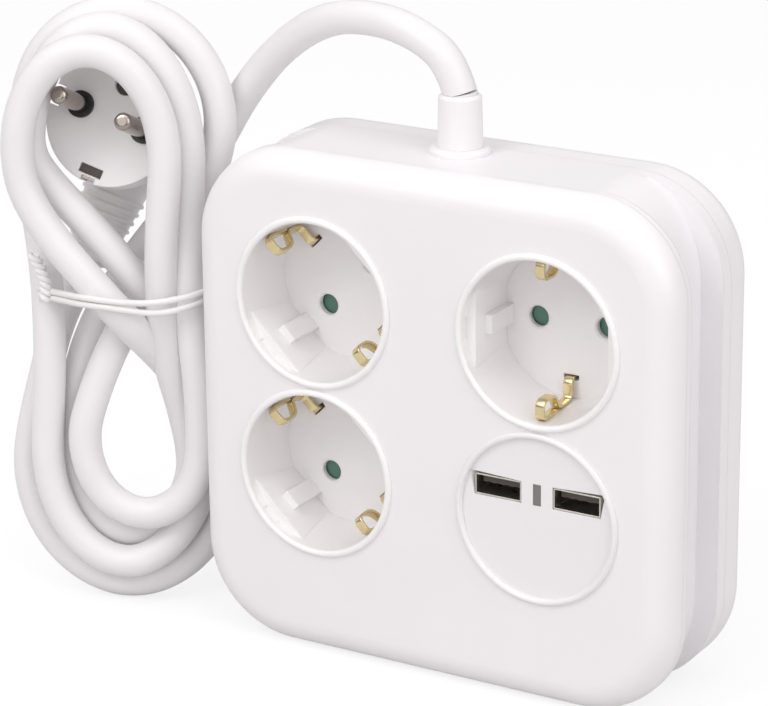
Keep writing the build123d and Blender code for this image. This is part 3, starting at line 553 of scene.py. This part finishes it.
def twistRoute(s, phase):
    low, high = Vector(s["foot"]), Vector(s["top"])
    route = []
    for i in range(s["points"]):
        share = i / (s["points"] - 1)
        angle = phase + share * s["turns"] * 2 * math.pi
        centre = low.lerp(high, share) + Vector((s["bow"] * math.sin(share * s["bowTurn"]), 0, 0))
        route.append(hankPoint(
            centre.x + s["swing"] * math.cos(angle), centre.y, centre.z + s["swing"] * math.sin(angle),
        ))
    return route


def makeTie(s):
    strands = [
        makeCurve(
            "tieStrand", [hankPoint(*p) for p in s[side]], s["radius"], finishes["tie_plastic"], 3, 5, True,
        )
        for side in ("upper", "lower")
    ]
    strands += [
        makeCurve("tieEnd", twistRoute(s, phase), s["radius"], finishes["tie_plastic"], 3, 4)
        for phase in (0, math.pi)
    ]
    return strands


def joinToMesh(name, parts, material):  # turns curves into one plain mesh at the origin
    bpy.context.view_layer.update()
    grid = bpy.context.evaluated_depsgraph_get()
    whole = bmesh.new()
    for part in parts:
        whole.from_mesh(bpy.data.meshes.new_from_object(part.evaluated_get(grid)))
        bpy.data.objects.remove(part)
    mesh = bpy.data.meshes.new(name)
    whole.to_mesh(mesh)
    whole.free()
    mesh.materials.append(material)
    for face in mesh.polygons:
        face.use_smooth = True
    piece = bpy.data.objects.new(name, mesh)
    scene.collection.objects.link(piece)
    return piece


twistTie = joinToMesh("wireTwistTie", makeTie(tieSet), finishes["tie_plastic"])
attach(twistTie, "housing")
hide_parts("twist_tie")
print("twist tie made")


# Geometry node helpers

def newShapeTree(name, inputs):
    return newTree("GeometryNodeTree", name, inputs, [("Geometry", "NodeSocketGeometry")])


def finishTree(tree, given, out, instances):
    real = addNode(tree, "GeometryNodeRealizeInstances", {0: instances})
    smooth = addNode(tree, "GeometryNodeSetShadeSmooth", {0: real.outputs[0]})
    coated = addNode(tree, "GeometryNodeSetMaterial", {0: smooth.outputs[0], "Material": given["Material"]})
    tree.links.new(coated.outputs[0], out["Geometry"])


def growMesh(holder, tree, values, matrix):  # runs a tree on an object once and gives its result in place
    grower = holder.modifiers.new("grow", "NODES")
    grower.node_group = tree
    for socket in tree.interface.items_tree:
        if socket.in_out == "INPUT" and socket.name in values:
            grower[socket.identifier] = values[socket.name]
    bpy.context.view_layer.update()
    mesh = bpy.data.meshes.new_from_object(holder.evaluated_get(bpy.context.evaluated_depsgraph_get()))
    holder.modifiers.remove(grower)
    mesh.transform(matrix)
    mesh.update()
    return mesh


def growShape(name, tree, values, matrix):
    holder = bpy.data.objects.new(name, bpy.data.meshes.new(name))
    scene.collection.objects.link(holder)
    holder.data = growMesh(holder, tree, values, matrix)
    return holder


# Round inserts: the rim, its mouth and the start of the guide ribs are finer than in the solid

insertSet = {
    "faceY": -0.0215,
    "rimOuter": 0.02275,
    "rimInner": 0.0198,
    "rimHeight": 0.6,  # share of the solid's rim height
    "mouth": 0.0211,
    "lip": 0.0006,
    "floor": 0.0182,
    "flat": 0.0183,
    "ribWidth": 0.0054,
    "ribStart": 0.0068,
    "cutRadii": (0.0212, 0.01829, 0.0155),  # what is cut off the ribs, just inside the flats
    "cutDepths": (0.0008, 0.00219),
    "sharpAngle": 32,
    "arcReach": 0.0004,  # how far the rim's arc bulges into the recess
    "near": 2e-5,
    "wells": {
        "upper_left": (-0.03225, 0.0966, 45),
        "lower_left": (-0.03225, 0.0506, 45),
        "upper_right": (0.03225, 0.0966, 0),
    },
    "disc": (0.03225, 0.0506),
}


def openMouth(mesh, x, z, angle, s):  # moves the rim's inner side outwards and tapers a recess
    shape = bmesh.new()
    shape.from_mesh(mesh)
    bmesh.ops.remove_doubles(shape, verts=shape.verts, dist=1e-6)
    narrower = (s["rimOuter"] - s["mouth"]) / (s["rimOuter"] - s["rimInner"])
    turn = math.radians(angle or 0)
    for point in shape.verts:
        across, up, depth = point.co.x - x, point.co.z - z, point.co.y - s["faceY"]
        radius = math.hypot(across, up)
        if depth <= s["lip"] + 1e-6 and radius > s["rimInner"] - s["arcReach"]:
            wanted = s["rimOuter"] - (s["rimOuter"] - radius) * narrower
            point.co.y = s["faceY"] + (depth if depth > 0 else depth * s["rimHeight"])
        elif angle is not None and abs(radius - s["rimInner"]) < s["near"] and depth < s["floor"]:
            share = (s["floor"] - depth) / (s["floor"] - s["lip"])
            wanted = s["rimInner"] + (s["mouth"] - s["rimInner"]) * share
        else:
            continue
        along = across * math.cos(turn) + up * math.sin(turn)
        aside = up * math.cos(turn) - across * math.sin(turn)
        # the flat's edge stays in its plane
        if angle is not None and abs(abs(along) - s["flat"]) < s["near"]:
            aside = math.copysign(math.sqrt(wanted ** 2 - along ** 2), aside)
        else:
            along, aside = along * wanted / radius, aside * wanted / radius
        point.co.x = x + along * math.cos(turn) - aside * math.sin(turn)
        point.co.z = z + along * math.sin(turn) + aside * math.cos(turn)
    opened = bpy.data.meshes.new("opened")
    shape.to_mesh(opened)
    shape.free()
    if "custom_normal" in opened.attributes:
        opened.attributes.remove(opened.attributes["custom_normal"])
    return opened


def makeRibCutter(x, z, angle, s):
    shape = bmesh.new()
    outer, wall, inner = s["cutRadii"]
    first, flatStart = s["cutDepths"]
    outline = [
        (inner, first), (outer, first), (outer, flatStart),
        (wall, flatStart), (wall, s["ribStart"]), (inner, s["ribStart"]),
    ]
    for side in (angle, angle + 180):
        turn = math.radians(side)
        along = Vector((math.cos(turn), 0, math.sin(turn)))
        across = Vector((-math.sin(turn), 0, math.cos(turn)))
        ends = []
        for half in (-s["ribWidth"] / 2, s["ribWidth"] / 2):
            ends.append([
                shape.verts.new(Vector((x, s["faceY"] + depth, z)) + along * out + across * half)
                for out, depth in outline
            ])
        shape.faces.new(ends[0])
        shape.faces.new(reversed(ends[1]))
        for i in range(len(outline)):
            j = (i + 1) % len(outline)
            shape.faces.new((ends[0][i], ends[1][i], ends[1][j], ends[0][j]))
    bmesh.ops.recalc_face_normals(shape, faces=shape.faces)
    mesh = bpy.data.meshes.new("ribCutter")
    shape.to_mesh(mesh)
    shape.free()
    cutter = bpy.data.objects.new("ribCutter", mesh)
    scene.collection.objects.link(cutter)
    return cutter


def makeInsert(name, node, x, z, angle, finish, s):
    piece = bpy.data.objects.new(name, openMouth(nodes[node].data, x, z, angle, s))
    scene.collection.objects.link(piece)
    if angle is not None:
        cutter = makeRibCutter(x, z, angle, s)
        shorter = piece.modifiers.new("shorterRibs", "BOOLEAN")
        shorter.object, shorter.operation, shorter.solver = cutter, "DIFFERENCE", "EXACT"
        bpy.context.view_layer.update()
        cut = bpy.data.meshes.new_from_object(piece.evaluated_get(bpy.context.evaluated_depsgraph_get()))
        piece.modifiers.remove(shorter)
        bpy.data.objects.remove(cutter)
        piece.data = cut
    piece.data.materials.clear()
    piece.data.materials.append(finishes[finish])
    piece.data.shade_smooth()
    piece.data.set_sharp_from_angle(angle=math.radians(s["sharpAngle"]))
    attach(piece, "housing")
    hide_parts(node)
    print(name, "made,", len(piece.data.polygons), "faces")


for name, (x, z, angle) in insertSet["wells"].items():
    makeInsert(f"{name}_well", f"{name}_cup", x, z, angle, "insert_plastic", insertSet)
makeInsert("usb_disc", "usb_faceplate", *insertSet["disc"], None, "disc_plastic", insertSet)


# Earth contacts: one strip through each socket, bent to a round arch at both ends

clipSet = {
    "half": [  # one end of the strip: millimetres from the socket's axis and behind the face
        (20.2, 9.6), (20.4, 1.6), (16.5, 1.8), (15.7, 3.0), (15.6, 6.6), (16.4, 8.3),
        (19.6, 10.2), (19.7, 12.0), (19.4, 16.4), (14.3, 16.4), (14.3, 36.0),
    ],
    "width": 0.0025,
    "thickness": 0.0008,
    "bend": 0.0014,
}


def makeStripTree():
    tree, given, out = newShapeTree("bentStrip", [
        ("Geometry", "NodeSocketGeometry", None), ("Width", "NodeSocketFloat", 0.0036),
        ("Thickness", "NodeSocketFloat", 0.0008),
        ("Bend", "NodeSocketFloat", 0.0022), ("Material", "NodeSocketMaterial", None),
    ])
    bent = addNode(
        tree, "GeometryNodeFilletCurve",
        {"Curve": given["Geometry"], "Radius": given["Bend"], "Count": 9, "Limit Radius": True},
        mode="POLY",
    )
    flat = addNode(tree, "GeometryNodeSetCurveNormal", {"Curve": bent.outputs[0]}, mode="Z_UP")
    section = addNode(
        tree, "GeometryNodeCurvePrimitiveQuadrilateral",
        {"Width": given["Thickness"], "Height": given["Width"]},
    )
    eased = addNode(
        tree, "GeometryNodeFilletCurve",
        {"Curve": section.outputs[0], "Radius": 0.00018, "Count": 3, "Limit Radius": True}, mode="POLY",
    )
    strip = addNode(
        tree, "GeometryNodeCurveToMesh",
        {"Curve": flat.outputs[0], "Profile Curve": eased.outputs[0], "Fill Caps": True},
    )
    finishTree(tree, given, out, strip.outputs[0])
    return tree


def makeClip(name, tree, s):
    x, z, angle = insertSet["wells"][name]
    half = s["half"]
    route = half + [(-across, depth) for across, depth in reversed(half)]
    data = bpy.data.curves.new(f"{name}_contact", "CURVE")
    data.dimensions = "3D"
    spline = data.splines.new("POLY")
    spline.points.add(len(route) - 1)
    for point, (across, depth) in zip(spline.points, route):
        point.co = (across * 0.001, depth * 0.001, 0, 1)
    holder = bpy.data.objects.new(f"{name}_contact", data)
    scene.collection.objects.link(holder)
    turn = math.radians(angle + 90)
    matrix = Matrix((
        (math.cos(turn), 0, -math.sin(turn)), (0, 1, 0), (math.sin(turn), 0, math.cos(turn)),
    )).to_4x4()
    matrix.translation = (x, insertSet["faceY"], z)
    mesh = growMesh(
        holder, tree,
        {
            "Width": s["width"], "Thickness": s["thickness"], "Bend": s["bend"],
            "Material": finishes["brass"],
        },
        matrix,
    )
    bpy.data.objects.remove(holder)
    piece = bpy.data.objects.new(f"{name}_contact", mesh)
    scene.collection.objects.link(piece)
    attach(piece, "housing")
    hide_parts(f"{name}_earth_stirrup")
    return piece


stripTree = makeStripTree()
for name in insertSet["wells"]:
    clip = makeClip(name, stripTree, clipSet)
print("earth contacts made,", len(clip.data.polygons), "faces each")


# Charging ports: four gold contacts in the grooves of each tongue

contactSet = {
    "count": 4,
    "pitch": 0.0025,
    "width": 0.0011,
    "height": 0.00034,
    "length": 0.0056,
    "ports": {"left": 0.0212, "right": 0.0433},
    "place": (-0.0157, 0.0573),
}


def makeContactTree():
    tree, given, out = newShapeTree("contactRow", [
        ("Count", "NodeSocketInt", 4), ("Pitch", "NodeSocketFloat", 0.0025),
        ("Width", "NodeSocketFloat", 0.0011),
        ("Height", "NodeSocketFloat", 0.0003), ("Length", "NodeSocketFloat", 0.0056),
        ("Material", "NodeSocketMaterial", None),
    ])
    last = addNode(tree, "ShaderNodeMath", {0: given["Count"], 1: 1.0}, operation="SUBTRACT")
    half = addNode(tree, "ShaderNodeMath", {0: last.outputs[0], 1: -0.5}, operation="MULTIPLY")
    start = addNode(tree, "ShaderNodeMath", {0: half.outputs[0], 1: given["Pitch"]}, operation="MULTIPLY")
    first = addNode(tree, "ShaderNodeCombineXYZ", {"X": start.outputs[0]})
    step = addNode(tree, "ShaderNodeCombineXYZ", {"X": given["Pitch"]})
    row = addNode(
        tree, "GeometryNodeMeshLine",
        {"Count": given["Count"], "Start Location": first.outputs[0], "Offset": step.outputs[0]},
    )
    size = addNode(
        tree, "ShaderNodeCombineXYZ", {"X": given["Width"], "Y": given["Length"], "Z": given["Height"]},
    )
    bar = addNode(
        tree, "GeometryNodeMeshCube",
        {"Size": size.outputs[0], "Vertices X": 3, "Vertices Y": 6, "Vertices Z": 2},
    )
    placed = addNode(
        tree, "GeometryNodeInstanceOnPoints", {"Points": row.outputs[0], "Instance": bar.outputs[0]},
    )
    finishTree(tree, given, out, placed.outputs[0])
    return tree


contactTree = makeContactTree()
for side, x in contactSet["ports"].items():
    contacts = growShape(f"usb_{side}_contacts", contactTree, {
        "Count": contactSet["count"], "Pitch": contactSet["pitch"], "Width": contactSet["width"],
        "Height": contactSet["height"],
        "Length": contactSet["length"], "Material": finishes["brass"],
    }, Matrix.Translation((x, contactSet["place"][0], contactSet["place"][1])))
    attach(contacts, "housing")
print("charging contacts made")


# Plug: dark fills in its openings as painted shade, and ribs round the neck of its cord grip

plugSet = {
    "faceCentre": (-0.104, -0.0049, 0.132),
    "pinWay": (0.26, -0.89, 0.38),
    "pinRow": (0.95, 0.15, -0.29),
    "neckDepth": 0.024,
    "neckStart": 0.011,
    "neckLength": 0.0265,
    "neckRadius": 0.0093,
    "neckTip": 0.0060,
    "firstRib": 0.0085,
    "ribPitch": 0.0026,
    "ribCount": 7,
    "ribThickness": 0.0007,
    # painted shade: dark solids set inside the plug's slot and earth hole, where there is only shade
    "fills": {  # in the openings: place, half width, half height, corners, front and back depth
        "plugSlotFill": ((0, -0.0152), 0.0032, 0.0011, 4, 0.0004, 0.0038),
        "plugSocketFill": ((0, 0.0095), 0.0030, 0.0030, 48, 0.0012, 0.0135),
    },
}


def plugAxes(s):  # the pin row, the way up the face and the way the pins point
    z = Vector(s["pinWay"]).normalized()
    x = Vector(s["pinRow"])
    x = (x - z * x.dot(z)).normalized()
    return x, z.cross(x), z


def makeRibTree():
    tree, given, out = newShapeTree("ribRow", [
        ("Count", "NodeSocketInt", 7), ("Pitch", "NodeSocketFloat", 0.0026),
        ("First Radius", "NodeSocketFloat", 0.008),
        ("Last Radius", "NodeSocketFloat", 0.006), ("Thickness", "NodeSocketFloat", 0.0007),
        ("Material", "NodeSocketMaterial", None),
    ])
    pitch = addNode(tree, "ShaderNodeCombineXYZ", {"Z": given["Pitch"]})
    row = addNode(tree, "GeometryNodeMeshLine", {"Count": given["Count"], "Offset": pitch.outputs[0]})
    ring = addNode(
        tree, "GeometryNodeCurvePrimitiveCircle", {"Resolution": 56, "Radius": given["First Radius"]},
    )
    profile = addNode(
        tree, "GeometryNodeCurvePrimitiveCircle", {"Resolution": 12, "Radius": given["Thickness"]},
    )
    hoop = addNode(
        tree, "GeometryNodeCurveToMesh", {"Curve": ring.outputs[0], "Profile Curve": profile.outputs[0]},
    )
    index = addNode(tree, "GeometryNodeInputIndex")
    last = addNode(tree, "ShaderNodeMath", {0: given["Count"], 1: 1.0}, operation="SUBTRACT")
    share = addNode(tree, "ShaderNodeMath", {0: index.outputs[0], 1: last.outputs[0]}, operation="DIVIDE")
    ratio = addNode(
        tree, "ShaderNodeMath", {0: given["Last Radius"], 1: given["First Radius"]}, operation="DIVIDE",
    )
    size = addNode(
        tree, "ShaderNodeMix", {0: share.outputs[0], 2: 1.0, 3: ratio.outputs[0]}, data_type="FLOAT",
    )
    spread = addNode(
        tree, "ShaderNodeCombineXYZ", {"X": size.outputs[0], "Y": size.outputs[0], "Z": size.outputs[0]},
    )
    placed = addNode(
        tree, "GeometryNodeInstanceOnPoints",
        {"Points": row.outputs[0], "Instance": hoop.outputs[0], "Scale": spread.outputs[0]},
    )
    finishTree(tree, given, out, placed.outputs[0])
    return tree


def makePlugRibs(s):
    x, y, z = plugAxes(s)
    start = Vector(s["faceCentre"]) - z * s["neckDepth"] - y * (s["neckStart"] + s["firstRib"])
    matrix = Matrix((x, z, -y)).transposed().to_4x4()
    matrix.translation = start

    def radiusAt(length):
        return s["neckRadius"] + (s["neckTip"] - s["neckRadius"]) * length / s["neckLength"]

    lastRib = s["firstRib"] + s["ribPitch"] * (s["ribCount"] - 1)
    return growShape("plugRibs", makeRibTree(), {
        "Count": s["ribCount"], "Pitch": s["ribPitch"], "First Radius": radiusAt(s["firstRib"]),
        "Last Radius": radiusAt(lastRib),
        "Thickness": s["ribThickness"], "Material": finishes["plug_plastic"],
    }, matrix)


# A dark solid a little behind the plug's face in one of its openings, painted shade in place of the
# opening's depth
def makeShadeFill(name, place, wide, high, corners, front, back, s):
    x, y, z = plugAxes(s)
    ring = []
    for i in range(corners):
        if corners == 4:
            across, up = ((-1, -1), (1, -1), (1, 1), (-1, 1))[i]
        else:
            across, up = math.cos(math.tau * i / corners), math.sin(math.tau * i / corners)
        ring.append(Vector(s["faceCentre"]) + x * (place[0] + across * wide) + y * (place[1] + up * high))
    points = [point - z * front for point in ring] + [point - z * back for point in ring]
    sides = [(i, i + corners, (i + 1) % corners + corners, (i + 1) % corners) for i in range(corners)]
    mesh = bpy.data.meshes.new(name)
    mesh.from_pydata(
        points, [], [tuple(range(corners)), tuple(reversed(range(corners, 2 * corners)))] + sides,
    )
    mesh.materials.append(finishes["port_tongue_plastic"])
    mesh.update()
    piece = bpy.data.objects.new(name, mesh)
    scene.collection.objects.link(piece)
    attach(piece, "housing")
    print(name, "made")
    return piece


plugShadeFills = [makeShadeFill(name, *values, plugSet) for name, values in plugSet["fills"].items()]

plugRibs = makePlugRibs(plugSet)
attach(plugRibs, "housing")
print("plug ribs made,", len(plugRibs.data.polygons), "faces")


# Floor, lamps and world

floorSet = {"size": 6.0, "colour": (0.66, 0.65, 0.65), "glow": 0.60, "glowStrength": 1.28, "shine": 0.25}


def makeFloor(s):
    material, tree, shader = newMaterial("floorCard")
    shader.inputs["Roughness"].default_value = 0.9
    shader.inputs["Specular IOR Level"].default_value = 0.1
    place = addNode(tree, "ShaderNodeTexCoord").outputs["Object"]
    fibre = addNode(tree, "ShaderNodeTexNoise", {"Vector": place, "Scale": 300, "Detail": 3})
    tint = mixColours(tree, fibre.outputs["Fac"], s["colour"], tuple(c * 0.99 for c in s["colour"]))
    tree.links.new(tint, shader.inputs["Base Color"])
    path = addNode(tree, "ShaderNodeLightPath").outputs
    seen = addNode(
        tree, "ShaderNodeMath", {0: path["Is Camera Ray"], 1: path["Is Transmission Ray"]}, operation="ADD",
        use_clamp=True,
    )
    straight = addNode(tree, "ShaderNodeMath", {0: seen.outputs[0], 1: s["glow"]}, operation="MULTIPLY")
    part = addNode(
        tree, "ShaderNodeMath", {0: path["Is Glossy Ray"], 1: s["shine"], 2: straight.outputs[0]},
        operation="MULTIPLY_ADD", use_clamp=True,
    )
    glow = addNode(tree, "ShaderNodeEmission", {"Color": (1, 1, 1, 1), "Strength": s["glowStrength"]})
    mixed = addNode(
        tree, "ShaderNodeMixShader", {0: part.outputs[0], 1: shader.outputs[0], 2: glow.outputs[0]},
    )
    tree.links.new(mixed.outputs[0], tree.nodes["Material Output"].inputs["Surface"])
    mesh = bpy.data.meshes.new("floor")
    half = s["size"] / 2
    mesh.from_pydata(
        [(-half, -half, 0), (half, -half, 0), (half, half, 0), (-half, half, 0)], [], [(0, 1, 2, 3)],
    )
    mesh.materials.append(material)
    floor = bpy.data.objects.new("floor", mesh)
    scene.collection.objects.link(floor)


lampSet = {
    # place, aim, size, watts
    "keySoftbox": ((-0.42, -1.00, 1.12), (0, 0, 0.07), 0.65, 5.1),
    "frontSoftbox": ((0.05, -1.40, 0.55), (0, 0, 0.07), 0.8, 1.1),
    "topSoftbox": ((0.05, -0.30, 1.28), (0, 0, 0.07), 0.9, 2.8),
    "rightSoftbox": ((1.13, -0.49, 0.70), (0, 0, 0.07), 1.0, 5.1),
}


def makeLamps(lamps):
    for name, (place, aim, size, watts) in lamps.items():
        data = bpy.data.lights.new(name, "AREA")
        data.size = size
        data.energy = watts
        lamp = bpy.data.objects.new(name, data)
        lamp.location = place
        lamp.rotation_euler = (Vector(aim) - Vector(place)).to_track_quat("-Z", "Y").to_euler()
        scene.collection.objects.link(lamp)


worldSet = {"strength": 0.62, "colour": (1.0, 0.995, 1.0), "shineLow": 0.22, "shineHigh": 1.3}


def makeWorld(s):  # even light, a darker horizon where only polished metal looks, and white behind
    world = bpy.data.worlds.new("studio")
    scene.world = world
    world.use_nodes = True
    tree = world.node_tree
    path = addNode(tree, "ShaderNodeLightPath").outputs
    away = addNode(tree, "ShaderNodeTexCoord").outputs["Generated"]
    rise = addNode(tree, "ShaderNodeSeparateXYZ", {0: away}).outputs["Z"]
    shine = addNode(
        tree, "ShaderNodeMapRange",
        {
            "Value": rise, "From Min": 0.0, "From Max": 0.8, "To Min": s["shineLow"],
            "To Max": s["shineHigh"],
        },
    )
    lit = addNode(
        tree, "ShaderNodeMix", {0: path["Is Glossy Ray"], 2: s["strength"], 3: shine.outputs[0]},
        data_type="FLOAT",
    )
    strength = addNode(
        tree, "ShaderNodeMix", {0: path["Is Camera Ray"], 2: lit.outputs[0], 3: 1.0}, data_type="FLOAT",
    )
    back = tree.nodes["Background"]
    back.inputs["Color"].default_value = (*s["colour"], 1)
    tree.links.new(strength.outputs[0], back.inputs["Strength"])


makeFloor(floorSet)
makeLamps(lampSet)
makeWorld(worldSet)
scene.view_settings.view_transform = "Standard"
print("studio set")
